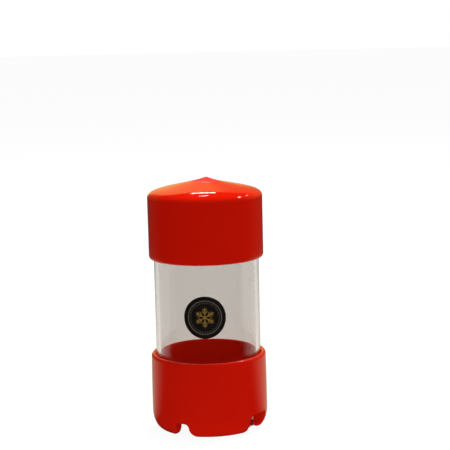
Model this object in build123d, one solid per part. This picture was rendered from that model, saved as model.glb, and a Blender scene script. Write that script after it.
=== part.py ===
from build123d import *
from math import atan2, cos, degrees, hypot, radians, sin, tan
import os

# A clear round tube that stands in a thick moulded foot cup and is closed by a moulded push-on cap.
# Millimetres. +Z is up, the feet stand on z = 0, the tube's axis is the Z axis and the label faces -Y.

# Clear tube
TUBE_DIAMETER = 50.0            # outside
TUBE_WALL = 2.0
TUBE_LENGTH = 100.0
TUBE_EDGE_BEVEL = 0.3           # at both cut ends

# Fits
PUSH_CLEARANCE = 0.08           # radial, between the tube and the bores of the cup and the cap
CAP_SEAT_GAP = 0.1              # between the tube's bevelled top edge and the inside of the shoulder

# Foot cup
CUP_HEIGHT = 35.95
CUP_WALL = 2.35                 # at the lip
CUP_LIP_RISE = 1.5              # height of the lip's round edge
CUP_BELLY = 0.2                 # how much further out the wall stands at its widest
CUP_BELLY_HEIGHT = 16.0
CUP_FLOOR = 2.1
RECESS_DEPTH = 9.2              # from the feet up to the underside of the floor
RECESS_CORNER = 1.2             # bevel between the recess's wall and its ceiling
FOOT_EDGE_REACH = 5.2           # the round bottom edge, measured inwards
FOOT_EDGE_RISE = 9.0            # the round bottom edge, measured upwards
FOOT_LAND = 0.6                 # width of the flat on which the feet stand
FOOT_INNER_BEVEL = 0.5

# Notches in the foot ring: two narrow ones and two wide ones, a quarter turn apart
NOTCH_AZIMUTH = -28.0           # of the first narrow notch, from the front towards +X
NOTCH_SIDE_SLOPE = 0.06         # sideways run of a notch's flank for each millimetre of height
NOTCH_TOP_ROUNDING = 1.8
NOTCH_EDGE_ROUNDING = 1.5       # where a notch meets the cup's outside
NARROW_NOTCH_TOP = 6.8          # width of the notch at its top
NARROW_NOTCH_HEIGHT = 6.6
NARROW_NOTCH_FLARE = 4.5        # rounding where a flank turns into the foot's underside
WIDE_NOTCH_TOP = 11.9
WIDE_NOTCH_HEIGHT = 8.2
WIDE_NOTCH_FLARE = 2.5

# Push-on cap
CAP_WALL = 2.22                 # at the lip
CAP_LIP_RISE = 1.6              # height of the lip's round edge
CAP_BELLY = 0.05                # how much further out the wall stands at the shoulder
CAP_SKIRT = 28.7                # from the lip's lowest point up to the shoulder
CAP_SHOULDER_REACH = 5.5        # the round shoulder, measured inwards
CAP_SHOULDER_RISE = 4.2         # the round shoulder, measured upwards
CAP_ROOF_WALL = 2.5             # of the roof, measured upwards
CAP_INNER_BEVEL = 1.1           # between the bore and the roof's underside, measured inwards
CAP_ROOF_ANGLE = 12.5           # of the conical roof, in degrees
TIP_RADIUS = 6.5                # where the roof begins to sweep up to the tip
TIP_RISE = 0.5                  # of the round tip above the cone's own point
TIP_SWEEP = 3.5                 # length of the sweep's hollow part, measured along the radius
TIP_CROWN = 1.6                 # length of the sweep's round part, measured along the radius

# Label
LABEL_DIAMETER = 20.0
LABEL_THICKNESS = 0.15
LABEL_HEIGHT = 57.75            # of its centre

TOUCH = 0.001                   # edges that lie on a surface are found to within this distance

# Sizes that follow from the ones above
tube_radius = TUBE_DIAMETER / 2
bore_radius = tube_radius + PUSH_CLEARANCE
floor_top = RECESS_DEPTH + CUP_FLOOR
tube_top = floor_top + TUBE_LENGTH


def turned(outline):
    """Turns a closed outline about the Z axis. Its points are (radius, height)."""
    edges = [edge for stretch in outline for edge in stretch.edges()]
    return revolve(Plane.XZ * make_face(edges), Axis.Z)


def round_edge(centre, reach, rise, start_angle, turn):
    """A stretch of an ellipse that rounds an edge. The angles run counterclockwise from outwards."""
    return EllipticalCenterArc(centre, reach, rise, start_angle, arc_size=turn)


def cup_body():
    """The foot cup before its notches are cut."""
    lip_outer = bore_radius + CUP_WALL
    lip_middle = bore_radius + CUP_WALL / 2
    lip_height = CUP_HEIGHT - CUP_LIP_RISE
    belly = lip_outer + CUP_BELLY
    land_outer = belly - FOOT_EDGE_REACH
    land_inner = land_outer - FOOT_LAND
    recess = land_inner - FOOT_INNER_BEVEL
    return turned([
        Polyline(
            (land_outer, 0), (land_inner, 0), (recess, FOOT_INNER_BEVEL),
            (recess, RECESS_DEPTH - RECESS_CORNER), (recess - RECESS_CORNER, RECESS_DEPTH),
            (0, RECESS_DEPTH), (0, floor_top), (bore_radius, floor_top), (bore_radius, lip_height),
        ),
        round_edge((lip_middle, lip_height), CUP_WALL / 2, CUP_LIP_RISE, 180, -90),
        round_edge((lip_middle, lip_height), CUP_WALL / 2, CUP_LIP_RISE, 90, -90),
        Polyline((lip_outer, lip_height), (belly, CUP_BELLY_HEIGHT), (belly, FOOT_EDGE_RISE)),
        round_edge((land_outer, FOOT_EDGE_RISE), FOOT_EDGE_REACH, FOOT_EDGE_RISE, 0, -90),
    ])


def notch_cutter(azimuth, top_width, height, flare):
    """A bar with the arched section of one notch, lying outwards from the cup's axis."""
    half_top = top_width / 2
    half_bottom = half_top + NOTCH_SIDE_SLOPE * height
    reach = half_bottom + flare
    section = make_face(Polyline(
        (-reach, 0), (-half_bottom, 0), (-half_top, height), (half_top, height), (half_bottom, 0),
        (reach, 0), (reach, -flare), (-reach, -flare), close=True,
    ))
    section = fillet(section.vertices().group_by(Axis.Y)[-1], NOTCH_TOP_ROUNDING)
    flank_ends = section.vertices().group_by(Axis.Y)[1].sort_by(Axis.X)[1:-1]
    section = fillet(flank_ends, flare)
    bar = extrude(Plane.XZ * section, amount=TUBE_DIAMETER)
    return Rot(0, 0, azimuth) * bar


def radius_at_ends(edge):
    """The smaller distance of an edge's two ends from the Z axis."""
    return min(hypot(edge.position_at(end).X, edge.position_at(end).Y) for end in (0, 1))


def cut_notch(cup, cutter, outside_from):
    """Cuts one notch and rounds its rim where it meets the cup's outside."""
    notched = cup - cutter
    rim = [edge for edge in new_edges(cup, cutter, combined=notched) if radius_at_ends(edge) >= outside_from]
    return fillet(rim, NOTCH_EDGE_ROUNDING)


def base_cup():
    """The foot cup: a thick socket for the tube on a ring of four feet with notches between them."""
    cup = cup_body()
    land_outer = bore_radius + CUP_WALL + CUP_BELLY - FOOT_EDGE_REACH
    narrow = (NARROW_NOTCH_TOP, NARROW_NOTCH_HEIGHT, NARROW_NOTCH_FLARE)
    wide = (WIDE_NOTCH_TOP, WIDE_NOTCH_HEIGHT, WIDE_NOTCH_FLARE)
    for quarter, sizes in enumerate((narrow, wide, narrow, wide)):
        cutter = notch_cutter(NOTCH_AZIMUTH + 90 * quarter, *sizes)
        cup = cut_notch(cup, cutter, land_outer - TOUCH)
    return cup


def clear_tube():
    """The round transparent tube, open at both ends."""
    tube = Cylinder(tube_radius, TUBE_LENGTH) - Cylinder(tube_radius - TUBE_WALL, TUBE_LENGTH)
    tube = chamfer(tube.edges().filter_by(GeomType.CIRCLE), TUBE_EDGE_BEVEL)
    return Pos(0, 0, floor_top + TUBE_LENGTH / 2) * tube


def top_cap():
    """The push-on cap: a round-lipped skirt, a round shoulder and a conical roof with a small tip."""
    lip_outer = bore_radius + CAP_WALL
    lip_middle = bore_radius + CAP_WALL / 2
    belly = lip_outer + CAP_BELLY
    shoulder = tube_top - TUBE_EDGE_BEVEL + CAP_SEAT_GAP
    lip_height = shoulder - CAP_SKIRT + CAP_LIP_RISE
    centre = belly - CAP_SHOULDER_REACH
    inner_edge = bore_radius - CAP_INNER_BEVEL
    fall = tan(radians(CAP_ROOF_ANGLE))
    # The ellipse of the shoulder runs as steeply as the roof at this angle of its own parameter.
    turn = atan2(CAP_SHOULDER_RISE, CAP_SHOULDER_REACH * fall)
    roof_edge = (centre + CAP_SHOULDER_REACH * cos(turn), shoulder + CAP_SHOULDER_RISE * sin(turn))

    def roof(radius):
        """Height of the roof's outside at a distance from the axis, as if the cone had no tip."""
        return roof_edge[1] + (roof_edge[0] - radius) * fall

    tip_start = (TIP_RADIUS, roof(TIP_RADIUS))
    tip_turn = (TIP_RADIUS - TIP_SWEEP, roof(TIP_RADIUS - TIP_SWEEP))
    tip_top = (0, roof(0) + TIP_RISE)
    return turned([
        round_edge((lip_middle, lip_height), CAP_WALL / 2, CAP_LIP_RISE, 180, 90),
        round_edge((lip_middle, lip_height), CAP_WALL / 2, CAP_LIP_RISE, 270, 90),
        Line((lip_outer, lip_height), (belly, shoulder)),
        round_edge((centre, shoulder), CAP_SHOULDER_REACH, CAP_SHOULDER_RISE, 0, degrees(turn)),
        Line(roof_edge, tip_start),
        Bezier(tip_start, tip_turn, (TIP_CROWN, tip_top[1]), tip_top),
        Polyline(
            tip_top, (0, roof(0) - CAP_ROOF_WALL), (inner_edge, roof(inner_edge) - CAP_ROOF_WALL),
            (bore_radius, shoulder), (bore_radius, lip_height),
        ),
    ])


def round_label():
    """The round sticker, bent round the front of the tube."""
    outer = tube_radius + LABEL_THICKNESS
    sleeve = Cylinder(outer, LABEL_DIAMETER * 2) - Cylinder(tube_radius, LABEL_DIAMETER * 2)
    half_width = outer * sin(LABEL_DIAMETER / 2 / outer)
    punch = extrude(Plane.XZ * Ellipse(half_width, LABEL_DIAMETER / 2), amount=TUBE_DIAMETER)
    return Pos(0, 0, LABEL_HEIGHT) * (sleeve & punch)


def write_parts():
    """Writes one STEP file for each piece."""
    os.makedirs("parts", exist_ok=True)
    export_step(base_cup(), "parts/base_cup.step")
    export_step(clear_tube(), "parts/clear_tube.step")
    export_step(top_cap(), "parts/top_cap.step")
    export_step(round_label(), "parts/round_label.step")


write_parts()
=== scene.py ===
import logging
import math
from dataclasses import dataclass, field
from enum import Enum

import bpy
import numpy as np
from mathutils import Matrix, Vector


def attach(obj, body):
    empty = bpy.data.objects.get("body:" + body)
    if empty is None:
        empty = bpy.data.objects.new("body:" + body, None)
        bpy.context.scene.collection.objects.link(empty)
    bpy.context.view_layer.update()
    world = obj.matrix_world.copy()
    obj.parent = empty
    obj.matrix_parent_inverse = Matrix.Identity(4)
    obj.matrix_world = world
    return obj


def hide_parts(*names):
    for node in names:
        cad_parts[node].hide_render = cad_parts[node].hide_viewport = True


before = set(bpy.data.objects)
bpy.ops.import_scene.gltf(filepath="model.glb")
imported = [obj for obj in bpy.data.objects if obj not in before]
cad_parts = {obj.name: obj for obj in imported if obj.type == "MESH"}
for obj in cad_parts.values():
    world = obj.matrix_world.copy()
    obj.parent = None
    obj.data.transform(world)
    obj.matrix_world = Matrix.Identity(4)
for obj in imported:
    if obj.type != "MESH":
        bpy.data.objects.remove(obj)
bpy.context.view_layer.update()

LOG = logging.getLogger("container")
MM = 0.001
Array = np.ndarray
Colour = tuple[float, float, float]
Span = tuple[float, float]


# ---------------------------------------------------------------- outlines and skins


def smooth_step(values: Array) -> Array:
    """Rises smoothly from 0 to 1 as the values go from 0 to 1: 3t^2 - 2t^3, held beyond both ends."""
    held = np.clip(values, 0.0, 1.0)
    return held * held * (3.0 - 2.0 * held)


def line(start: tuple[float, float], end: tuple[float, float], steps: int) -> Array:
    """A straight stretch of an outline.

    Formula: the start plus an even share of the way to the end.

    Args:
        start: Radius and height where it begins, in millimetres.
        end: Radius and height where it ends.
        steps: Number of points, without the end point.

    Returns:
        An array of points, one row each.
    """
    share = np.linspace(0.0, 1.0, steps, endpoint=False)[:, None]
    return np.array(start) + share * (np.array(end) - np.array(start))


def quarter(centre: tuple[float, float], reach: float, rise: float, start: float, end: float,
            steps: int) -> Array:
    """A stretch of an ellipse.

    Formula: the centre plus reach times the cosine of the angle outwards and rise times its sine upwards.

    Args:
        centre: Radius and height of the ellipse's centre, in millimetres.
        reach: Half its width along the radius.
        rise: Half its height.
        start: First angle in degrees, counterclockwise from outwards.
        end: Last angle in degrees.
        steps: Number of points, without the end point.

    Returns:
        An array of points, one row each.
    """
    angle = np.radians(np.linspace(start, end, steps, endpoint=False))
    return np.stack([centre[0] + reach * np.cos(angle), centre[1] + rise * np.sin(angle)], axis=1)


def sweep(controls: list[tuple[float, float]], steps: int) -> Array:
    """A smooth stretch drawn by control points.

    Formula: a Bezier curve, the Bernstein-weighted mean of its control points.

    Args:
        controls: Radius and height of each control point, in millimetres.
        steps: Number of points, without the end point.

    Returns:
        An array of points, one row each.
    """
    share = np.linspace(0.0, 1.0, steps, endpoint=False)[:, None]
    degree = len(controls) - 1
    weights = [math.comb(degree, k) * share ** k * (1.0 - share) ** (degree - k) for k in range(degree + 1)]
    return sum(weight * np.array(point) for weight, point in zip(weights, controls))


def around(radius: Array, height: Array, azimuth: Array) -> Array:
    """Points at a radius, a height and an azimuth.

    Formula: x is the radius times the sine of the azimuth and y is minus the radius times its cosine, so that
    azimuth 0 is the front and it grows towards +X.

    Args:
        radius: Distances from the axis, in millimetres.
        height: Heights, in millimetres.
        azimuth: Azimuths in radians. The three arrays share one shape.

    Returns:
        An array of that shape with x, y and z in metres as its last axis.
    """
    return np.stack([radius * np.sin(azimuth), -radius * np.cos(azimuth), height], axis=-1) * MM


def revolve(outline: Array, azimuth: Array) -> Array:
    """An outline that is turned about the axis.

    Formula: each of its points goes round the axis at every azimuth.

    Args:
        outline: Radius and height of each point, in millimetres.
        azimuth: Azimuths of the columns, in radians.

    Returns:
        Points in metres, as rings by columns by x, y and z.
    """
    return around(*np.broadcast_arrays(outline[:, :1], outline[:, 1:], azimuth))


def even_turn(columns: int) -> Array:
    """Azimuths of a number of evenly spaced columns, in radians."""
    return np.linspace(0.0, 2.0 * math.pi, columns, endpoint=False)


class Ends(Enum):
    """How a skin of rings is closed."""

    POLES = "the first and the last ring shrink to one point each"
    LOOP = "the last ring joins the first one"


def skin(name: str, rings: Array, ends: Ends, marks: dict[str, Array] | None = None) -> bpy.types.Object:
    """Makes one closed, smooth mesh from rings of points.

    Formula: four neighbours on the grid of rings and columns make a face, and the columns close on
    themselves. The faces are turned round when the signed volume, a sixth of the sum of the triple products
    of their corners, is negative.

    Args:
        name: Name of the new object.
        rings: Points in metres, as rings by columns by x, y and z.
        ends: How the first and the last ring are closed.
        marks: Values for each point of the grid, by attribute name.

    Returns:
        The new object, linked to the scene and standing at the origin.
    """
    count, columns = rings.shape[:2]
    points = rings.reshape(-1, 3)
    here = np.arange(columns)
    after = (here + 1) % columns
    index = np.arange(count * columns)
    ring = np.arange(count)
    if ends is Ends.POLES:
        ring = ring[:-1]
        index[:columns] = 0
        index[-columns:] = (count - 1) * columns
    lower = (ring * columns)[:, None]
    upper = (((ring + 1) % count) * columns)[:, None]
    grid = np.stack([lower + here, lower + after, upper + after, upper + here], axis=-1)
    faces = index[grid.reshape(-1, 4)]
    corners = points[faces]
    triples = np.einsum("ij,ij->i", corners[:, 0], np.cross(corners[:, 1], corners[:, 2]))
    triples += np.einsum("ij,ij->i", corners[:, 0], np.cross(corners[:, 2], corners[:, 3]))
    if triples.sum() < 0.0:
        faces = faces[:, ::-1]
    used = np.unique(faces)
    place = np.zeros(len(points), int)
    place[used] = np.arange(len(used))
    polygons = [tuple(dict.fromkeys(face)) for face in place[faces].tolist()]
    mesh = bpy.data.meshes.new(name)
    mesh.from_pydata(points[used].tolist(), [], polygons)
    mesh.polygons.foreach_set("use_smooth", np.ones(len(polygons), bool))
    for label, values in (marks or {}).items():
        layer = mesh.attributes.new(label, "FLOAT", "POINT")
        layer.data.foreach_set("value", values.reshape(-1)[used].astype(np.float32))
    mesh.update()
    piece = bpy.data.objects.new(name, mesh)
    bpy.context.scene.collection.objects.link(piece)
    LOG.info("%s: %d faces", name, len(polygons))
    return piece


# ---------------------------------------------------------------- finishes


class Sheet:
    """A node tree that is filled from empty with short calls."""

    def __init__(self, tree: bpy.types.NodeTree) -> None:
        """Empties the tree.

        Args:
            tree: The node tree of a material or of the world.
        """
        self.tree = tree
        tree.nodes.clear()

    def add(self, kind: str, settings: dict[str, object] | None = None,
            **sockets: object) -> bpy.types.Node:
        """Adds a node and fills or links its sockets.

        Args:
            kind: The node's type name.
            settings: Values for the node's own properties.
            **sockets: A value or another node's output for each input, with underscores for spaces.

        Returns:
            The new node.
        """
        node = self.tree.nodes.new(kind)
        for key, value in (settings or {}).items():
            setattr(node, key, value)
        for key, value in sockets.items():
            socket = node.inputs[int(key[1:])] if key[1:].isdigit() else node.inputs[key.replace("_", " ")]
            if isinstance(value, bpy.types.NodeSocket):
                self.tree.links.new(value, socket)
            else:
                socket.default_value = value
        return node

    def sum(self, first: object, second: object, operation: str = "ADD") -> bpy.types.NodeSocket:
        """The output of a Math node on two values or outputs."""
        return self.add("ShaderNodeMath", {"operation": operation}, i0=first, i1=second).outputs[0]

    def product(self, first: object, second: object) -> bpy.types.NodeSocket:
        """The output of a Math node that multiplies two values or outputs."""
        return self.sum(first, second, "MULTIPLY")

    def mark(self, name: str) -> bpy.types.NodeSocket:
        """The value of a named mark on the mesh, 0 where the mesh has none."""
        return self.add("ShaderNodeAttribute", {"attribute_name": name}).outputs["Fac"]

    def blend(self, share: object, first: object, second: object) -> bpy.types.NodeSocket:
        """The output of a colour mix: the first at share 0, the second at share 1."""
        node = self.add("ShaderNodeMix", {"data_type": "RGBA"}, i0=share, i6=first, i7=second)
        return node.outputs[2]

    def ramp(self, value: object, source: Span, target: Span = (0.0, 1.0)) -> bpy.types.NodeSocket:
        """Adds a smooth step from one range of values to another.

        Args:
            value: A number or another node's output.
            source: Where the step begins and ends.
            target: The result before the step and after it.

        Returns:
            The step's output.
        """
        node = self.add("ShaderNodeMapRange", {"interpolation_type": "SMOOTHSTEP"}, Value=value,
                        From_Min=source[0], From_Max=source[1], To_Min=target[0], To_Max=target[1])
        return node.outputs[0]

    def through_plastic(self, path: bpy.types.bpy_prop_collection, behind: object) -> bpy.types.NodeSocket:
        """How much of the pale ground a ray out of clear plastic shows.

        Args:
            path: The outputs of a Light Path node.
            behind: From 0 to 1, how far behind the container the ray ends.

        Returns:
            1 for rays that nothing mirrored on the way, the share behind for the others, and 0 for rays that
            don't come out of the plastic.
        """
        unmirrored = self.sum(path["Glossy Depth"], 0.5, "LESS_THAN")
        return self.product(path["Is Transmission Ray"], self.sum(unmirrored, behind, "MAXIMUM"))

    def noise(self, place: bpy.types.NodeSocket, scale: float, detail: float = 2.0) -> bpy.types.NodeSocket:
        """The output of a noise pattern, from 0 to 1, at a place."""
        return self.add("ShaderNodeTexNoise", None, Vector=place, Scale=scale, Detail=detail).outputs[0]


def rgba(colour: Colour) -> tuple[float, float, float, float]:
    """A colour with full opacity."""
    return (*colour, 1.0)


def new_material(name: str) -> tuple[bpy.types.Material, Sheet]:
    """Makes a material with an empty node tree.

    Args:
        name: Name of the material.

    Returns:
        The material, and its tree as a sheet.
    """
    material = bpy.data.materials.new(name)
    material.use_nodes = True
    return material, Sheet(material.node_tree)


@dataclass(frozen=True)
class DippedVinyl:
    """Glossy soft plastic that is moulded by dipping, with a slightly wavy skin."""

    colour: Colour = (0.60, 0.0075, 0.0012)
    deep_colour: Colour = (0.53, 0.0055, 0.0010)
    # Painted light: a brighter colour for the cup's hollow, in place of light that soaks through the wall.
    painted_light_colour: Colour = (0.79, 0.0170, 0.0012)
    roughness: Span = (0.020, 0.040)
    worn_roughness: float = 0.55
    wave_height: float = 0.020 * MM
    grain_share: float = 0.012

    def make(self, name: str) -> bpy.types.Material:
        """Builds the material.

        Args:
            name: Name of the material.

        Returns:
            The material, with its colour, roughness and bump from noise on object coordinates. It is duller
            where the mark worn is 1. Where the mark glow is 1 its colour is painted brighter: painted light
            that stands in for the light that soaks through the wall.
        """
        material, sheet = new_material(name)
        place = sheet.add("ShaderNodeTexCoord").outputs["Object"]
        cloud = sheet.noise(place, 40.0, 3.0)
        grain = sheet.noise(place, 900.0, 2.0)
        upright = sheet.add("ShaderNodeMapping", None, Vector=place, Scale=(1.0, 1.0, 0.35)).outputs[0]
        wave = sheet.noise(upright, 75.0, 1.0)
        smudge = sheet.add("ShaderNodeMapRange", None, Value=sheet.noise(place, 130.0, 4.0),
                           From_Min=0.35, From_Max=0.75, To_Min=self.roughness[0], To_Max=self.roughness[1])
        roughness = sheet.sum(smudge.outputs[0], sheet.product(sheet.mark("worn"), self.worn_roughness))
        height = sheet.sum(wave, sheet.product(grain, self.grain_share))
        bump = sheet.add("ShaderNodeBump", None, Strength=1.0, Distance=self.wave_height, Height=height)
        plain = sheet.blend(cloud, rgba(self.colour), rgba(self.deep_colour))
        # Painted light: the colour turns brighter where the mark glow is 1.
        shader = sheet.add("ShaderNodeBsdfPrincipled", None,
                           Base_Color=sheet.blend(sheet.mark("glow"), plain, rgba(self.painted_light_colour)),
                           Roughness=roughness, Normal=bump.outputs[0], IOR=1.5)
        sheet.add("ShaderNodeOutputMaterial", None, Surface=shader.outputs[0])
        return material


@dataclass(frozen=True)
class ClearPlastic:
    """Polished transparent plastic with a faint smoky tint and sparse fine scuffs. The tint is partly the
    plastic's own and partly painted shade, which greys the pale surroundings seen through the tube.
    """

    # Partly the plastic's own tint and partly painted shade, which greys what is seen through the tube.
    colour: Colour = (0.730, 0.700, 0.668)
    shade: Colour = (0.995, 0.99, 0.985)
    scuffed: float = 0.04
    line_height: float = 0.01 * MM

    def make(self, name: str) -> bpy.types.Material:
        """Builds the material.

        Args:
            name: Name of the material.

        Returns:
            The material. Light passes it unbent towards the lamps, so that what stands inside is lit.
        """
        material, sheet = new_material(name)
        place = sheet.add("ShaderNodeTexCoord").outputs["Object"]
        stretched = sheet.add("ShaderNodeMapping", None, Vector=place, Scale=(1.0, 1.0, 0.05)).outputs[0]
        scuff = sheet.add("ShaderNodeMapRange", None, Value=sheet.noise(stretched, 420.0, 3.0),
                          From_Min=0.6, From_Max=0.85, To_Min=0.0, To_Max=self.scuffed)
        draw_line = sheet.add("ShaderNodeBump", None, Strength=0.5, Distance=self.line_height,
                              Height=sheet.noise(stretched, 150.0, 1.0))
        body = sheet.add("ShaderNodeBsdfPrincipled", None, Base_Color=rgba(self.colour),
                         Roughness=scuff.outputs[0], Normal=draw_line.outputs[0],
                         IOR=1.49, Transmission_Weight=1.0)
        shade = sheet.add("ShaderNodeBsdfTransparent", None, Color=rgba(self.shade))
        path = sheet.add("ShaderNodeLightPath").outputs
        unbent = sheet.sum(path["Is Shadow Ray"], path["Is Diffuse Ray"], "MAXIMUM")
        mixed = sheet.add("ShaderNodeMixShader", None, i0=unbent, i1=body.outputs[0], i2=shade.outputs[0])
        sheet.add("ShaderNodeOutputMaterial", None, Surface=mixed.outputs[0])
        return material


@dataclass(frozen=True)
class PrintedFilm:
    """Satin black film with a fine grey print and a dull gold print, placed by two marks on the mesh."""

    ground: Colour = (0.0070, 0.0040, 0.0025)
    pale_ground: Colour = (0.010, 0.007, 0.005)
    fine_print: Colour = (0.19, 0.15, 0.12)
    gold_print: Colour = (0.26, 0.15, 0.012)
    roughness: Span = (0.28, 0.42)
    grain_height: float = 0.01 * MM

    def make(self, name: str) -> bpy.types.Material:
        """Builds the material.

        Args:
            name: Name of the material.

        Returns:
            The material, with its prints from the marks fine and gold.
        """
        material, sheet = new_material(name)
        place = sheet.add("ShaderNodeTexCoord").outputs["Object"]
        cloud = sheet.noise(place, 300.0, 2.0)
        ground = sheet.blend(cloud, rgba(self.ground), rgba(self.pale_ground))
        fine = sheet.blend(sheet.mark("fine"), ground, rgba(self.fine_print))
        printed = sheet.blend(sheet.mark("gold"), fine, rgba(self.gold_print))
        satin = sheet.add("ShaderNodeMapRange", None, Value=sheet.noise(place, 1500.0, 2.0),
                          To_Min=self.roughness[0], To_Max=self.roughness[1])
        bump = sheet.add("ShaderNodeBump", None, Strength=0.3, Distance=self.grain_height,
                         Height=sheet.noise(place, 900.0))
        shader = sheet.add("ShaderNodeBsdfPrincipled", None, Base_Color=printed, Roughness=satin.outputs[0],
                           Normal=bump.outputs[0])
        sheet.add("ShaderNodeOutputMaterial", None, Surface=shader.outputs[0])
        return material


# ---------------------------------------------------------------- the container's pieces


class NotchWidth(Enum):
    """The two widths of notch in the foot ring.

    Each value is the notch's width at the top, its height and the rounding where its flanks turn into the
    feet, in millimetres.
    """

    NARROW = (6.8, 6.6, 4.5)
    WIDE = (11.9, 8.2, 2.5)


@dataclass
class Notch:
    """One notch in the foot ring: an arch with leaning flanks, cut straight outwards.

    The azimuth is in degrees and the rounding in millimetres. The slope is the flank's run over its rise.
    """

    azimuth: float
    width: NotchWidth
    flank_slope: float = 0.06
    top_rounding: float = 1.8

    def rise(self, offset: Array) -> Array:
        """Height of the notch's surface at a distance from its middle.

        Formula: flat on top, then an arc, a straight flank, an arc the other way and 0.

        Args:
            offset: Sideways distances from the notch's middle, in millimetres.

        Returns:
            The heights, in millimetres.
        """
        top, height, flare = self.width.value
        lean = math.atan2(1.0, self.flank_slope)
        upper = self.top_rounding * math.tan(lean / 2.0)
        lower = flare * math.tan(lean / 2.0)
        turn = np.linspace(0.0, lean, 30)
        shoulder = np.stack([top / 2 - upper + self.top_rounding * np.sin(turn),
                             height - self.top_rounding * (1.0 - np.cos(turn))], axis=1)
        foot = np.stack([top / 2 + self.flank_slope * height + lower - flare * np.sin(turn),
                         flare * (1.0 - np.cos(turn))], axis=1)[::-1]
        outline = np.concatenate([[(0.0, height)], shoulder, foot])
        return np.interp(np.abs(offset), outline[:, 0], outline[:, 1], right=0.0)


@dataclass
class FootCup:
    """The thick cup in which the tube stands, on a ring of four feet with notches between them.

    Lengths are in millimetres and angles in degrees.
    """

    bore: float = 25.08
    wall: float = 2.35
    height: float = 35.95
    lip_rise: float = 1.5
    belly: float = 0.2
    belly_height: float = 16.0
    floor: float = 2.1
    recess_depth: float = 9.2
    recess_corner: float = 1.2
    foot_reach: float = 5.2
    foot_rise: float = 9.0
    land: float = 0.6
    inner_bevel: float = 0.5
    rim_rounding: float = 1.5
    floor_corner: float = 0.6
    recess_bevel: float = 0.12
    lip_tilt: float = 1.1
    tilt_fade: Span = (22.0, 32.0)
    notch_fade: Span = (24.0, 45.0)
    first_notch: float = -28.0
    columns: int = 620
    notches: list[Notch] = field(init=False)

    def __post_init__(self) -> None:
        """Sets a narrow and a wide notch in turn, a quarter turn apart."""
        widths = (NotchWidth.NARROW, NotchWidth.WIDE) * 2
        self.notches = [Notch(self.first_notch + 90.0 * k, width) for k, width in enumerate(widths)]

    @property
    def belly_radius(self) -> float:
        """The cup's largest radius, in millimetres."""
        return self.bore + self.wall + self.belly

    def from_notch(self, azimuth: Array) -> tuple[Array, Array]:
        """The nearest notch of each column.

        Args:
            azimuth: Azimuths in degrees.

        Returns:
            The azimuth from that notch's middle in degrees, and its number.
        """
        number = np.round((azimuth - self.first_notch) / 90.0).astype(int)
        return azimuth - (self.first_notch + 90.0 * number), number % 4

    def ceiling(self, azimuth: Array) -> Array:
        """Height of the feet's underside above the ground.

        Formula: the rise of the nearest notch at the sideways distance from its middle, which is the cup's
        largest radius times the sine of the angle between.

        Args:
            azimuth: Azimuths in degrees.

        Returns:
            The heights in millimetres, 0 under the feet.
        """
        away, number = self.from_notch(azimuth)
        offset = self.belly_radius * np.sin(np.radians(away))
        return np.choose(number, [notch.rise(offset) for notch in self.notches])

    def column_azimuths(self) -> tuple[Array, Array]:
        """Azimuths of the columns on the notched line and on the plain wall above it.

        Formula: in each quarter with a notch in its middle, even steps of the length of the notched line,
        with its rises counted in full, stand against even steps of azimuth.

        Returns:
            The azimuths on the notched line and on the plain wall, in degrees.
        """
        count = self.columns // 4
        share = np.arange(count) / count
        notched = []
        for notch in self.notches:
            fine = np.linspace(notch.azimuth - 45.0, notch.azimuth + 45.0, 3601)
            steps = np.hypot(np.radians(np.diff(fine)) * self.belly_radius, np.diff(self.ceiling(fine)))
            length = np.concatenate([[0.0], np.cumsum(steps)])
            notched.append(np.interp(share * length[-1], length, fine))
        plain = [notch.azimuth - 45.0 + 90.0 * share for notch in self.notches]
        return np.concatenate(notched), np.concatenate(plain)

    def wall_outline(self) -> Array:
        """The outside from under the lip down to the feet, in millimetres.

        Formula: the radius grows by the sine of the way down to the belly, then a quarter ellipse turns
        inwards.

        Returns:
            Points at small even steps.
        """
        lip_outer = self.bore + self.wall
        lip_height = self.height - self.lip_rise
        share = np.linspace(0.0, 1.0, 200, endpoint=False)
        upper = np.stack([lip_outer + self.belly * np.sin(share * math.pi / 2),
                          lip_height + share * (self.belly_height - lip_height)], axis=1)
        middle = line((self.belly_radius, self.belly_height), (self.belly_radius, self.foot_rise), 80)
        edge = quarter((self.belly_radius - self.foot_reach, self.foot_rise),
                       self.foot_reach, self.foot_rise, 0.0, -90.0, 400)
        last = [(self.belly_radius - self.foot_reach, 0.0)]
        return np.concatenate([upper, middle, edge, last])

    def recess_outline(self) -> Array:
        """The inside of the foot ring from its lowest edge up to the recess's ceiling.

        Formula: a bevel, a straight wall and a quarter circle.

        Returns:
            Points in millimetres.
        """
        edge = self.belly_radius - self.foot_reach - self.land
        recess = edge - self.inner_bevel
        return np.concatenate([
            line((edge, 0.0), (recess, self.inner_bevel), 10),
            line((recess, self.inner_bevel), (recess, self.recess_depth - self.recess_corner), 160),
            quarter((recess - self.recess_corner, self.recess_depth - self.recess_corner),
                    self.recess_corner, self.recess_corner, 0.0, 90.0, 40),
            [(recess - self.recess_corner, self.recess_depth)],
        ])

    def foot_rows(self, notched: Array, plain: Array) -> Array:
        """Rows of points over the notched foot ring, from the plain wall down and in to the recess's ceiling.

        Formula: the wall's rows go in even steps from the plain columns to the start of the rounded rim. That
        start lies on the wall, square to the notched line, at the rounding times the tangent of half the turn
        between the wall and the notch. A quadratic Bezier curve rounds the rim, straight lines run along the
        notch to the recess, and the columns spread evenly again up the recess's side.

        Args:
            notched: Azimuths of the columns on the notched line, in degrees.
            plain: Azimuths of the same columns on the plain wall, in degrees.

        Returns:
            Points in metres, as rows by columns by x, y and z.
        """
        wall = self.wall_outline()
        down = np.concatenate([[0.0], np.cumsum(np.hypot(*np.diff(wall, axis=0).T))])

        def rim_at(azimuth: Array) -> Array:
            """Length down the wall to the notched line."""
            return np.interp(self.ceiling(azimuth), wall[::-1, 1], down[::-1])

        def on_wall(way: Array) -> tuple[Array, Array]:
            """Radius and height at a length down the wall."""
            return np.interp(way, down, wall[:, 0]), np.interp(way, down, wall[:, 1])

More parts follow.
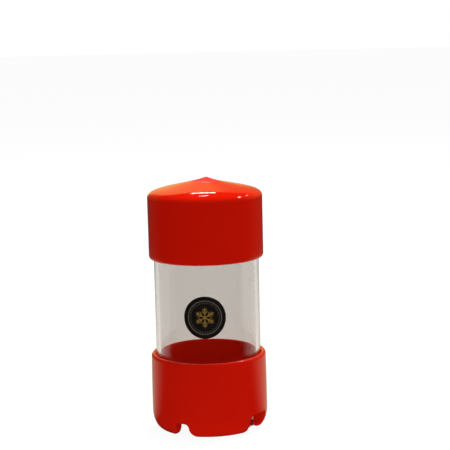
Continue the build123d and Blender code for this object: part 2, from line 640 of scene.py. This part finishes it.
        # The rim's place, its direction, and the directions from it up the wall and in along the notch.
        rim = rim_at(notched)
        radius, height = on_wall(rim)
        nudge = 0.02
        slope = (rim_at(notched + nudge) - rim_at(notched - nudge)) / (2.0 * math.radians(nudge) * radius)
        steep = np.sqrt(1.0 + slope ** 2)
        step = 0.1
        back_radius, back_height = on_wall(rim - step)
        out_share, down_share = (radius - back_radius) / step, (height - back_height) / step
        norm = np.hypot(out_share, down_share)
        turned = np.radians(notched)
        sideways = np.stack([np.cos(turned), np.sin(turned), 0.0 * turned], axis=-1)
        outwards = np.stack([np.sin(turned), -np.cos(turned), 0.0 * turned], axis=-1)
        downwards = outwards * (out_share / norm)[:, None]
        downwards[:, 2] = down_share / norm
        edge = (sideways + slope[:, None] * downwards) / steep[:, None]
        from_rim = (slope[:, None] * sideways - downwards) / steep[:, None]
        away, number = self.from_notch(notched)
        near, far = self.notch_fade
        fade = 1.0 - smooth_step((np.abs(away) - near) / (far - near))
        aim = np.radians(notched - fade * away)
        inwards = around(0.0 * aim - 1.0, 0.0 * aim, aim) / MM
        along = inwards - np.sum(inwards * edge, axis=-1)[:, None] * edge
        along /= np.linalg.norm(along, axis=-1)[:, None]
        turn = np.arccos(np.clip(-np.sum(from_rim * along, axis=-1), -1.0, 1.0))
        across = self.rim_rounding * np.tan(turn / 2.0)
        corner = around(radius, height, turned)

        # Down the plain wall to where the rounding begins.
        begin_way = rim - across / steep
        begin_azimuth = turned + slope / steep * across / radius
        top_way = np.interp(self.height - self.belly_height, self.height - wall[:, 1], down)
        share = np.linspace(0.0, 1.0, 34, endpoint=False)[:, None]
        way_radius, way_height = on_wall(top_way + share * (begin_way - top_way))
        straight = np.radians(plain)
        rows = [around(way_radius, way_height, straight + share * (begin_azimuth - straight))]

        # Round the rim.
        begin = around(*on_wall(begin_way), begin_azimuth)
        end = corner + along * across[:, None] * MM
        bend = np.linspace(0.0, 1.0, 12, endpoint=False)[:, None, None]
        rows.append((1.0 - bend) ** 2 * begin + 2.0 * bend * (1.0 - bend) * corner + bend ** 2 * end)

        # Along the notch to the recess.
        recess = self.recess_outline()
        up = np.concatenate([[0.0], np.cumsum(np.hypot(*np.diff(recess, axis=0).T))])
        end_height = end[:, 2] / MM
        end_radius = np.hypot(end[:, 0], end[:, 1]) / MM
        end_away = np.arctan2(end[:, 0], -end[:, 1]) - np.radians(self.first_notch + 90.0 * number)
        end_away = np.mod(end_away + math.pi, 2.0 * math.pi) - math.pi
        at_recess = np.interp(end_height, recess[:, 1], up)
        inner = np.interp(at_recess, up, recess[:, 0]) + self.recess_bevel
        inner_away = np.arcsin(np.clip(end_radius * np.sin(end_away) / inner, -1.0, 1.0))
        inner_azimuth = turned - np.radians(away) + end_away + fade * (inner_away - end_away)
        inner_point = around(inner, end_height, inner_azimuth)
        level = np.linspace(0.0, 1.0, 10)[:, None, None]
        rows.append(end + level * (inner_point - end))

        # Up the recess's side.
        past = np.minimum(at_recess + self.recess_bevel, up[-1])
        rising = np.linspace(0.0, 1.0, 14)[:, None]
        upward = past + rising * (up[-1] - past)
        rows.append(around(np.interp(upward, up, recess[:, 0]), np.interp(upward, up, recess[:, 1]),
                           inner_azimuth + rising * (straight - inner_azimuth)))
        return np.concatenate(rows)

    def mesh(self) -> bpy.types.Object:
        """Builds the cup's skin, from the middle of its floor over the lip to the middle of its underside.

        Formula: the outlines turned about the axis, with the lip raised by its tilt times the way from front
        to back, faded out below.

        Returns:
            The cup's object.
        """
        notched, plain = self.column_azimuths()
        floor_top = self.recess_depth + self.floor
        lip_middle = self.bore + self.wall / 2
        lip_height = self.height - self.lip_rise
        corner = self.floor_corner
        wall = self.wall_outline()
        inside = np.concatenate([
            line((0.0, floor_top), (self.bore - corner, floor_top), 8),
            quarter((self.bore - corner, floor_top + corner), corner, corner, -90.0, 0.0, 5),
            line((self.bore, floor_top + corner), (self.bore, lip_height), 12),
            quarter((lip_middle, lip_height), self.wall / 2, self.lip_rise, 180.0, 0.0, 28),
            wall[wall[:, 1] > self.belly_height][::12],
        ])
        recess = self.recess_outline()[-1, 0]
        under = np.concatenate([line((recess * 0.97, self.recess_depth), (0.0, self.recess_depth), 9),
                                [(0.0, self.recess_depth)]])
        azimuth = np.radians(plain)
        rings = np.concatenate([revolve(inside, azimuth), self.foot_rows(notched, plain),
                                revolve(under, azimuth)])
        start, end = self.tilt_fade
        near_lip = smooth_step((rings[..., 2] / MM - start) / (end - start))
        to_back = 0.5 + 0.5 * rings[..., 1] / (self.belly_radius * MM)
        rings[..., 2] += self.lip_tilt * MM * near_lip * to_back
        # The floor and the bore of the hollow take the mark glow, which paints light on them as a brighter
        # colour, and the lip and the outside don't.
        glow = np.zeros(rings.shape[:2])
        glow[:len(inside)] = inside[:, :1] < self.bore + 0.1
        return skin("cup_shell", rings, Ends.POLES, {"glow": glow})

    def dress(self, piece: bpy.types.Object, finish: bpy.types.Material) -> None:
        """Gives the cup its finish and its place on the moving model.

        Args:
            piece: The cup's object.
            finish: Its material.
        """
        piece.data.materials.append(finish)
        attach(piece, "foot")
        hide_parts("base_cup")


@dataclass
class ClearTube:
    """The transparent tube between the cup and the cap, with its sizes in millimetres."""

    radius: float = 25.0
    wall: float = 2.0
    bevel: float = 0.3
    bottom: float = 11.3
    length: float = 100.0
    columns: int = 480

    def mesh(self) -> bpy.types.Object:
        """Builds the tube's skin: up the outside, over the cut edge, down the bore and back.

        Returns:
            The tube's object.
        """
        inner = self.radius - self.wall
        top = self.bottom + self.length
        outline = np.concatenate([
            line((self.radius, self.bottom + self.bevel), (self.radius, top - self.bevel), 30),
            line((self.radius, top - self.bevel), (self.radius - self.bevel, top), 3),
            line((self.radius - self.bevel, top), (inner + self.bevel, top), 4),
            line((inner + self.bevel, top), (inner, top - self.bevel), 3),
            line((inner, top - self.bevel), (inner, self.bottom + self.bevel), 30),
            line((inner, self.bottom + self.bevel), (inner + self.bevel, self.bottom), 3),
            line((inner + self.bevel, self.bottom), (self.radius - self.bevel, self.bottom), 4),
            line((self.radius - self.bevel, self.bottom), (self.radius, self.bottom + self.bevel), 3),
        ])
        return skin("tube_shell", revolve(outline, even_turn(self.columns)), Ends.LOOP)

    def dress(self, piece: bpy.types.Object, finish: bpy.types.Material) -> None:
        """Gives the tube its finish and its place on the moving model.

        Args:
            piece: The tube's object.
            finish: Its material.
        """
        piece.data.materials.append(finish)
        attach(piece, "tube")
        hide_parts("clear_tube")


@dataclass
class PushOnCap:
    """The cap: a round-lipped skirt, a round shoulder and a conical roof with a small tip.

    Lengths are in millimetres and angles in degrees. The shoulder is the height where the skirt ends.
    """

    bore: float = 25.08
    wall: float = 2.22
    lip_rise: float = 1.6
    belly: float = 0.05
    shoulder: float = 111.1
    skirt: float = 28.7
    shoulder_reach: float = 5.5
    shoulder_rise: float = 4.2
    roof_wall: float = 2.5
    inner_bevel: float = 1.1
    roof_angle: float = 12.5
    droop_start: float = 18.4
    droop_end: float = 23.5
    droop_angle: float = 5.0
    corner_reach: float = 3.75
    corner_rise: float = 1.1
    tip_radius: float = 6.5
    tip_rise: float = 0.5
    tip_sweep: float = 3.5
    tip_crown: float = 0.7
    tip_aside: float = 0.9
    worn_fade: Span = (5.0, 8.0)
    columns: int = 560

    def outline(self) -> tuple[Array, int]:
        """The cap's outline from the tip down the outside, round the lip and up the inside.

        Formula: a Bezier tip, a straight cone, an edge whose slope grows by the power 1.5 of the way across
        it, a Bezier shoulder, straight walls and half an ellipse as the lip.

        Returns:
            Points in millimetres, and the number of those on the roof's outside.
        """
        outer = self.bore + self.wall
        middle = self.bore + self.wall / 2
        belly = outer + self.belly
        lip = self.shoulder - self.skirt + self.lip_rise
        centre = belly - self.shoulder_reach
        inner = self.bore - self.inner_bevel
        fall = math.tan(math.radians(self.roof_angle))
        turn = math.atan2(self.shoulder_rise, self.shoulder_reach * fall)
        edge = (centre + self.shoulder_reach * math.cos(turn),
                self.shoulder + self.shoulder_rise * math.sin(turn))

        def roof(radius: float) -> float:
            """Height of the cone at a radius."""
            return edge[1] + (edge[0] - radius) * fall

        top = roof(0.0) + self.tip_rise
        tip = sweep([(0.0, top), (self.tip_crown, top),
                     (self.tip_radius - self.tip_sweep, roof(self.tip_radius - self.tip_sweep)),
                     (self.tip_radius, roof(self.tip_radius))], 24)
        cone = line((self.tip_radius, roof(self.tip_radius)), (self.droop_start, roof(self.droop_start)), 14)
        share = np.linspace(0.0, 1.0, 24)
        radii = self.droop_start + share * (self.droop_end - self.droop_start)
        falls = np.tan(np.radians(self.roof_angle + self.droop_angle * share ** 1.5))
        drops = np.concatenate([[0.0], np.cumsum((falls[1:] + falls[:-1]) / 2 * np.diff(radii))])
        droop = np.stack([radii, roof(self.droop_start) - drops], axis=1)
        last = tuple(droop[-1])
        skirt = [
            sweep([last, (last[0] + self.corner_reach, last[1] - self.corner_reach * falls[-1]),
                   (belly, self.shoulder + self.corner_rise), (belly, self.shoulder)], 28),
            line((belly, self.shoulder), (outer, lip), 20),
            quarter((middle, lip), self.wall / 2, self.lip_rise, 0.0, -180.0, 28),
            # The bore ends with two rings close together, which keeps its upper edge crisp.
            line((self.bore, lip), (self.bore, self.shoulder - 0.02), 12),
            line((self.bore, self.shoulder), (inner, roof(inner) - self.roof_wall), 6),
            line((inner, roof(inner) - self.roof_wall), (0.0, roof(0.0) - self.roof_wall), 8),
            [(0.0, roof(0.0) - self.roof_wall)],
        ]
        return np.concatenate([tip, cone, droop[:-1], *skirt]), len(tip) + len(cone)

    def mesh(self) -> bpy.types.Object:
        """Builds the cap's skin and moves its tip a little aside.

        Formula: turned points, with those of the roof moved by the tip's offset times a smooth fade to 0 at
        the tip's radius and a half. The mark worn fades from 1 at the tip to 0 over its span.

        Returns:
            The cap's object.
        """
        outline, on_roof = self.outline()
        rings = revolve(outline, even_turn(self.columns))
        near = 1.0 - smooth_step(outline[:on_roof, 0] / (1.5 * self.tip_radius))
        rings[:on_roof, :, 0] += (self.tip_aside * MM * near)[:, None]
        start, end = self.worn_fade
        worn = 1.0 - smooth_step((outline[:, :1] - start) / (end - start))
        return skin("cap_shell", rings, Ends.POLES, {"worn": np.repeat(worn, self.columns, axis=1)})

    def dress(self, piece: bpy.types.Object, finish: bpy.types.Material) -> None:
        """Gives the cap its finish and its place on the moving model.

        Args:
            piece: The cap's object.
            finish: Its material.
        """
        piece.data.materials.append(finish)
        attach(piece, "cap")
        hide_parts("top_cap")


@dataclass
class RoundSticker:
    """The round sticker on the front of the tube, with a plain ring, dots and a six-armed frost star.

    Lengths are in millimetres and angles in degrees.
    """

    tube_radius: float = 25.0
    radius: float = 10.0
    thickness: float = 0.15
    height: float = 57.75
    ring: float = 7.9
    ring_width: float = 0.16
    dots: int = 36
    dot_ring: float = 6.9
    dot_radius: float = 0.16
    arm: float = 4.6
    arm_width: float = 0.34
    twigs: tuple[Span, ...] = ((0.42, 1.5), (0.70, 1.1))
    twig_slant: float = 50.0
    soft_edge: float = 0.08
    back_gap: float = 0.02
    columns: int = 480
    rings: int = 170
    back_rings: int = 24

    def star(self, across: Array, up: Array) -> Array:
        """How far each point is from the lines of the frost star.

        Formula: the angle is folded into a twelfth of a turn, where the star is one straight arm and two
        slanted twigs, and the smallest distance to these three stretches is taken. Each twig has its root as
        a share of the arm, and its length.

        Args:
            across: Distances from the middle to the right, in millimetres.
            up: Distances from the middle upwards, in millimetres.

        Returns:
            The distances, in millimetres.
        """
        angle = np.arctan2(across, up)
        folded = np.abs(np.mod(angle + math.pi / 6, math.pi / 3) - math.pi / 6)
        reach = np.hypot(across, up)
        along = reach * np.cos(folded)
        aside = reach * np.sin(folded)
        nearest = np.hypot(aside, np.maximum(along - self.arm, 0.0))
        slant = math.radians(self.twig_slant)
        for root, length in self.twigs:
            from_root = along - root * self.arm
            travel = np.clip(from_root * math.cos(slant) + aside * math.sin(slant), 0.0, length)
            gap = np.hypot(from_root - travel * math.cos(slant), aside - travel * math.sin(slant))
            nearest = np.minimum(nearest, gap)
        return nearest

    def prints(self, across: Array, up: Array) -> dict[str, Array]:
        """Where the two prints lie.

        Formula: 1 inside each line and dot, 0 outside, with a soft edge between.

        Args:
            across: Distances from the middle to the right, in millimetres.
            up: Distances from the middle upwards, in millimetres.

        Returns:
            The marks fine and gold, from 0 to 1.
        """
        reach = np.hypot(across, up)
        step = 2.0 * math.pi / self.dots
        angle = np.mod(np.arctan2(across, up) + step / 2, step) - step / 2
        dot = np.hypot(reach * np.cos(angle) - self.dot_ring, reach * np.sin(angle)) - self.dot_radius
        fine = np.minimum(np.abs(reach - self.ring) - self.ring_width / 2, dot)
        gold = self.star(across, up) - self.arm_width / 2
        return {"fine": 1.0 - smooth_step(fine / self.soft_edge),
                "gold": 1.0 - smooth_step(gold / self.soft_edge)}

    def mesh(self) -> bpy.types.Object:
        """Builds the sticker: a disc of film bent round the tube.

        Formula: a point at a distance across the flat disc goes to the azimuth of that distance over the
        radius of the film's outside.

        Returns:
            The sticker's object.
        """
        reach = np.concatenate([np.linspace(0.0, self.radius, self.rings),
                                np.linspace(self.radius, 0.0, self.back_rings)])
        lift = np.repeat([self.thickness, self.back_gap], [self.rings, self.back_rings])
        turn = even_turn(self.columns)
        across = reach[:, None] * np.sin(turn)
        up = reach[:, None] * np.cos(turn)
        radius = self.tube_radius + lift[:, None] * np.ones(self.columns)
        rings = around(radius, self.height + up, across / (self.tube_radius + self.thickness))
        marks = self.prints(across, up)
        # The film's edge and its back are bare.
        for values in marks.values():
            values[self.rings - 2:] = 0.0
        return skin("sticker_film", rings, Ends.POLES, marks)

    def dress(self, piece: bpy.types.Object, finish: bpy.types.Material) -> None:
        """Gives the sticker its finish and its place on the moving model.

        Args:
            piece: The sticker's object.
            finish: Its material.
        """
        piece.data.materials.append(finish)
        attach(piece, "tube")
        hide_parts("round_label")


# ---------------------------------------------------------------- the studio


@dataclass(frozen=True)
class LightBar:
    """One flat light that glossy surfaces show, with its place and its width and height in metres."""

    name: str
    place: tuple[float, float, float]
    size: Span
    power: float


@dataclass(frozen=True)
class Studio:
    """A pale floor, a soft light from above, small light bars and the surroundings, in metres and watts."""

    floor_half: float = 4.0
    floor_colour: Colour = (0.40, 0.39, 0.38)
    floor_mirrored: Colour = (0.58, 0.50, 0.36)
    near_floor: Span = (0.12, 0.60)
    far_floor: float = 0.09
    shown_light: float = 0.80
    shown_white: float = 1.16
    bounce_reach: Span = (0.08, 0.20)
    bounce_light: Span = (0.80, 0.12)
    gap_turn: float = math.radians(28.0)
    gap_half: Span = (0.0062, 0.0068)
    covered: Span = (0.0205, 0.0215)
    covered_behind: float = 0.0025
    open_left: Span = (0.004, 0.010)
    backdrop: Colour = (0.80, 0.59, 0.21)
    front_dark: float = 0.03
    ambient: float = 0.46
    front_light: float = 0.55
    top_place: tuple[float, float, float] = (0.14, 0.35, 1.0)
    top_size: Span = (0.9, 0.9)
    top_power: float = 17.0
    bar_colour: Colour = (1.0, 0.92, 0.76)
    bars: tuple[LightBar, ...] = (
        LightBar("bar_low", (-0.042, 0.672, 0.606), (0.104, 0.016), 0.10),
        LightBar("bar_high", (-0.036, 0.565, 0.722), (0.058, 0.020), 0.14),
        LightBar("bar_right", (0.459, 0.262, 0.783), (0.085, 0.040), 0.95),
        LightBar("bar_outer", (0.418, 0.492, 0.675), (0.040, 0.040), 0.25),
    )

    def open_floor(self, sheet: Sheet, place: bpy.types.bpy_prop_collection,
                   away: bpy.types.NodeSocket) -> bpy.types.NodeSocket:
        """Where the floor lies open to the light.

        Formula: 0 within the covered radius and 1 outside. The radius is a little smaller in line with the
        wide gap and larger behind, and the floor is open everywhere on the left.

        Args:
            sheet: The floor's node tree.
            place: X, Y and Z on the floor, in metres.
            away: Distance from the container's axis, in metres.

        Returns:
            The share of light, from 0 under the foot cup to 1 on the open floor.
        """
        aside = sheet.sum(sheet.product(place["X"], math.sin(self.gap_turn)),
                          sheet.product(place["Y"], math.cos(self.gap_turn)))
        radius = sheet.ramp(sheet.sum(aside, 0.0, "ABSOLUTE"), self.gap_half, self.covered)
        radius = sheet.sum(radius, sheet.ramp(place["Y"], (0.0, 0.003), (0.0, self.covered_behind)))
        outside = sheet.ramp(sheet.sum(away, radius, "SUBTRACT"), (-0.001, 0.0))
        return sheet.sum(outside, sheet.ramp(place["X"], self.open_left, (1.0, 0.0)), "MAXIMUM")

    def make_floor(self) -> bpy.types.Object:
        """Lays the floor, which takes the container's shadow and is nearly white where it is seen.

        Formula: where the floor is seen it glows by the share of the shown light on open floor and is matt
        for the rest, a little of that glow lights the container, and in reflections it is warm behind the
        container and fades with the distance.

        Returns:
            The floor.
        """
        half = self.floor_half
        corners = [(-half, -half, 0), (half, -half, 0), (half, half, 0), (-half, half, 0)]
        mesh = bpy.data.meshes.new("floor")
        mesh.from_pydata(corners, [], [(0, 1, 2, 3)])
        floor = bpy.data.objects.new("floor", mesh)
        bpy.context.scene.collection.objects.link(floor)
        material, sheet = new_material("pale_floor")
        path = sheet.add("ShaderNodeLightPath").outputs
        here = sheet.add("ShaderNodeTexCoord").outputs["Object"]
        place = sheet.add("ShaderNodeSeparateXYZ", None, Vector=here).outputs
        away = sheet.add("ShaderNodeVectorMath", {"operation": "LENGTH"}, i0=here).outputs["Value"]
        to_back = sheet.ramp(sheet.sum(place["Y"], away, "DIVIDE"), (-0.1, 0.6), (self.front_dark, 1.0))
        near = sheet.ramp(away, self.near_floor, (1.0, self.far_floor))
        mirrored = sheet.add("ShaderNodeEmission", None, Color=rgba(self.floor_mirrored),
                             Strength=sheet.product(to_back, near))
        white = sheet.add("ShaderNodeEmission", None, Color=(1, 1, 1, 1), Strength=self.shown_white)
        matt = sheet.add("ShaderNodeBsdfDiffuse", None, Color=rgba(self.floor_colour))
        through = sheet.through_plastic(path, sheet.ramp(place["Y"], (-0.03, 0.03)))
        seen = sheet.product(sheet.sum(path["Is Camera Ray"], through),
                             sheet.product(self.open_floor(sheet, place, away), self.shown_light))
        bounced = sheet.product(path["Is Diffuse Ray"],
                                sheet.ramp(away, self.bounce_reach, self.bounce_light))
        shown = sheet.add("ShaderNodeMixShader", None, i0=sheet.sum(seen, bounced),
                          i1=matt.outputs[0], i2=white.outputs[0])
        reflected = sheet.sum(path["Is Glossy Ray"], through, "SUBTRACT")
        paint = sheet.add("ShaderNodeMixShader", None, i0=reflected, i1=shown.outputs[0],
                          i2=mirrored.outputs[0])
        sheet.add("ShaderNodeOutputMaterial", None, Surface=paint.outputs[0])
        mesh.materials.append(material)
        return floor

    def make_surroundings(self) -> None:
        """Sets the world: white where it is seen, soft light elsewhere, and a warm backdrop in reflections.

        Formula: the backdrop fades out by the direction, towards the front, above, at the far left and partly
        on the right. The soft light is stronger from the front and weaker from above.
        """
        world = bpy.data.worlds.new("surroundings")
        world.use_nodes = True
        bpy.context.scene.world = world
        sheet = Sheet(world.node_tree)
        path = sheet.add("ShaderNodeLightPath").outputs
        ray = sheet.add("ShaderNodeTexCoord").outputs["Generated"]
        way = sheet.add("ShaderNodeSeparateXYZ", None, Vector=ray).outputs
        shown = sheet.product(sheet.ramp(way["Z"], (0.535, 0.56), (1.0, 0.0)),
                              sheet.ramp(way["X"], (-0.03, 0.07), (1.0, 0.35)))
        shown = sheet.product(shown, sheet.ramp(way["X"], (-0.42, -0.25), (0.15, 1.0)))
        shown = sheet.product(shown, sheet.ramp(way["Y"], (0.0, 0.55)))
        mirrored = sheet.add("ShaderNodeBackground", None, Color=rgba(self.backdrop),
                             Strength=sheet.sum(shown, self.front_dark))
        turned = sheet.sum(way["Y"], sheet.product(way["X"], 0.4), "SUBTRACT")
        facing = sheet.product(sheet.ramp(turned, (-0.9, 0.2), (1.0, 0.0)),
                               sheet.ramp(way["Z"], (0.4, 0.8), (1.0, 0.0)))
        even = sheet.sum(sheet.product(facing, self.front_light), self.ambient)
        soft = sheet.add("ShaderNodeBackground", None, Color=(1, 1, 1, 1), Strength=even)
        white = sheet.add("ShaderNodeBackground", None, Color=(1, 1, 1, 1), Strength=1.0)
        through = sheet.through_plastic(path, sheet.ramp(way["Y"], (-0.05, 0.15)))
        lit = sheet.add("ShaderNodeMixShader", None, i0=path["Is Glossy Ray"], i1=soft.outputs[0],
                        i2=mirrored.outputs[0])
        both = sheet.add("ShaderNodeMixShader", None, i0=sheet.sum(path["Is Camera Ray"], through),
                         i1=lit.outputs[0], i2=white.outputs[0])
        sheet.add("ShaderNodeOutputWorld", None, Surface=both.outputs[0])

    def hang_light(self, bar: LightBar, mirrored: bool) -> bpy.types.Object:
        """Hangs one flat light that faces the container.

        Args:
            bar: The light's name, place, size and power.
            mirrored: Whether glossy surfaces show it. Such a light is a little warmer.

        Returns:
            The light.
        """
        lamp = bpy.data.lights.new(bar.name, "AREA")
        lamp.shape = "RECTANGLE"
        lamp.size, lamp.size_y = bar.size
        lamp.energy = bar.power
        if mirrored:
            lamp.color = self.bar_colour
        light = bpy.data.objects.new(bar.name, lamp)
        aim = Vector((0.0, 0.0, 0.07)) - Vector(bar.place)
        facing = aim.to_track_quat("-Z", "Y").to_matrix().to_4x4()
        light.matrix_world = Matrix.Translation(bar.place) @ facing
        light.visible_glossy = mirrored
        light.visible_camera = False
        light.visible_transmission = False
        bpy.context.scene.collection.objects.link(light)
        return light

    def build(self) -> None:
        """Sets up the floor, the surroundings and the lights."""
        self.make_floor()
        self.make_surroundings()
        self.hang_light(LightBar("overhead_soft", self.top_place, self.top_size, self.top_power), False)
        for bar in self.bars:
            self.hang_light(bar, True)
        LOG.info("studio: floor, surroundings and %d lights", 1 + len(self.bars))


@dataclass(frozen=True)
class ViewPoint:
    """Where the container is seen from, in metres, degrees and, for the lens, millimetres."""

    distance: float = 0.800
    height: float = 0.2154
    aside: float = 3.09
    heading: float = -2.42
    pitch: float = 8.39
    roll: float = -1.41
    lens: float = 135.856

    def build(self) -> bpy.types.Object:
        """Places the camera.

        Formula: the forward vector comes from the heading and the pitch, and the right and up vectors turn
        about it by the roll.

        Returns:
            The camera.
        """
        aside, heading = math.radians(self.aside), math.radians(self.heading)
        pitch, roll = math.radians(self.pitch), math.radians(self.roll)
        forward = Vector((math.sin(heading) * math.cos(pitch), math.cos(heading) * math.cos(pitch),
                          -math.sin(pitch)))
        level = Vector((math.cos(heading), -math.sin(heading), 0.0))
        upright = level.cross(forward)
        right = math.cos(roll) * level + math.sin(roll) * upright
        above = math.cos(roll) * upright - math.sin(roll) * level
        turn = Matrix((right, above, -forward)).transposed().to_4x4()
        place = (self.distance * math.sin(aside), -self.distance * math.cos(aside), self.height)
        lens = bpy.data.cameras.new("camera")
        lens.lens = self.lens
        lens.sensor_width = 36.0
        camera = bpy.data.objects.new("camera", lens)
        camera.matrix_world = Matrix.Translation(place) @ turn
        bpy.context.scene.collection.objects.link(camera)
        bpy.context.scene.camera = camera
        LOG.info("camera: %.1f mm lens", self.lens)
        return camera


def main() -> None:
    """Builds and dresses the container, then the studio and the camera."""
    logging.basicConfig(level=logging.INFO, format="%(name)s %(message)s")
    vinyl = DippedVinyl().make("red_vinyl_dipped")
    plastic = ClearPlastic().make("clear_plastic_polished")
    film = PrintedFilm().make("black_film_printed")
    pieces = ((FootCup(), vinyl), (ClearTube(), plastic), (PushOnCap(), vinyl), (RoundSticker(), film))
    for part, finish in pieces:
        part.dress(part.mesh(), finish)
        LOG.info("%s is dressed", type(part).__name__)
    Studio().build()
    ViewPoint().build()
    bpy.context.scene.view_settings.view_transform = "Standard"


if __name__ == "__main__":
    main()
